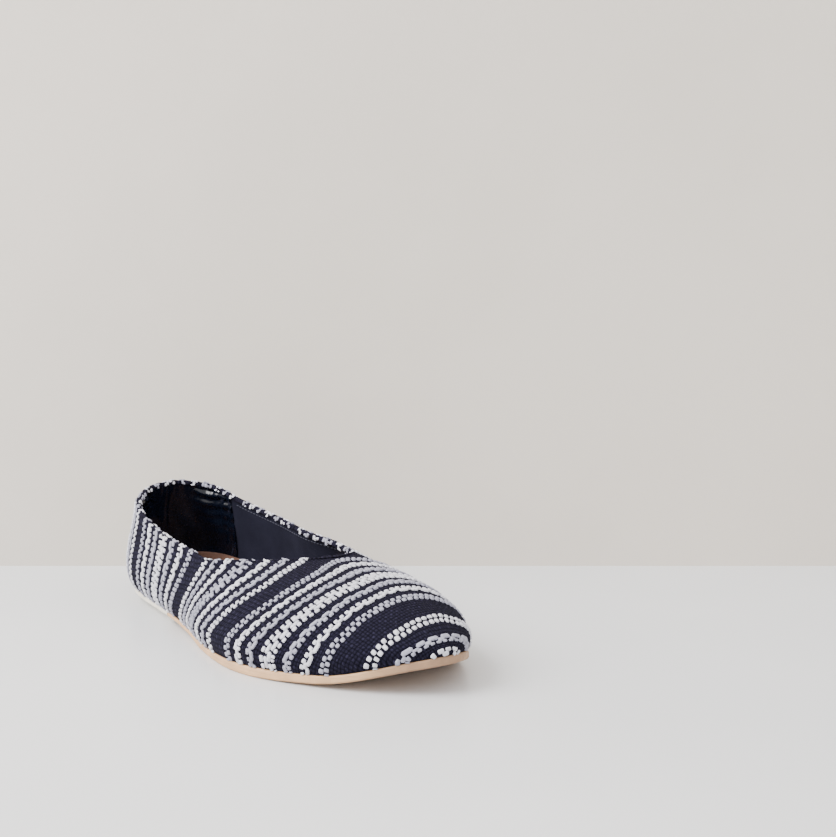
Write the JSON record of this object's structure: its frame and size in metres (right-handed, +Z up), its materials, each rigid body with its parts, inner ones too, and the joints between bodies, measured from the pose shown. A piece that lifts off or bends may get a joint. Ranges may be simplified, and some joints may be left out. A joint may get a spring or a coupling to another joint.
{
  "type": "foldable flat",
  "caption": "Low slip-on flat for the right foot with a striped woven fabric upper, almond toe, open topline, thin flexible sole and a low heel lift.",
  "frame": {"origin": "centre of the footprint on the floor that the shoe stands on", "axes": "+X from heel to toe, +Y to the inner side of the foot, +Z up"},
  "size_m": [0.2548, 0.094, 0.0574],
  "materials": {
    "upper": "matte handwoven cotton",
    "outsole": "matte, smooth edge",
    "heel_lift": "matte",
    "insole": "smooth satin"
  },
  "bodies": {
    "root": {"upper": "upper", "outsole": "outsole", "heel_lift": "heel_lift", "insole": "insole"}
  },
  "joints": []
}
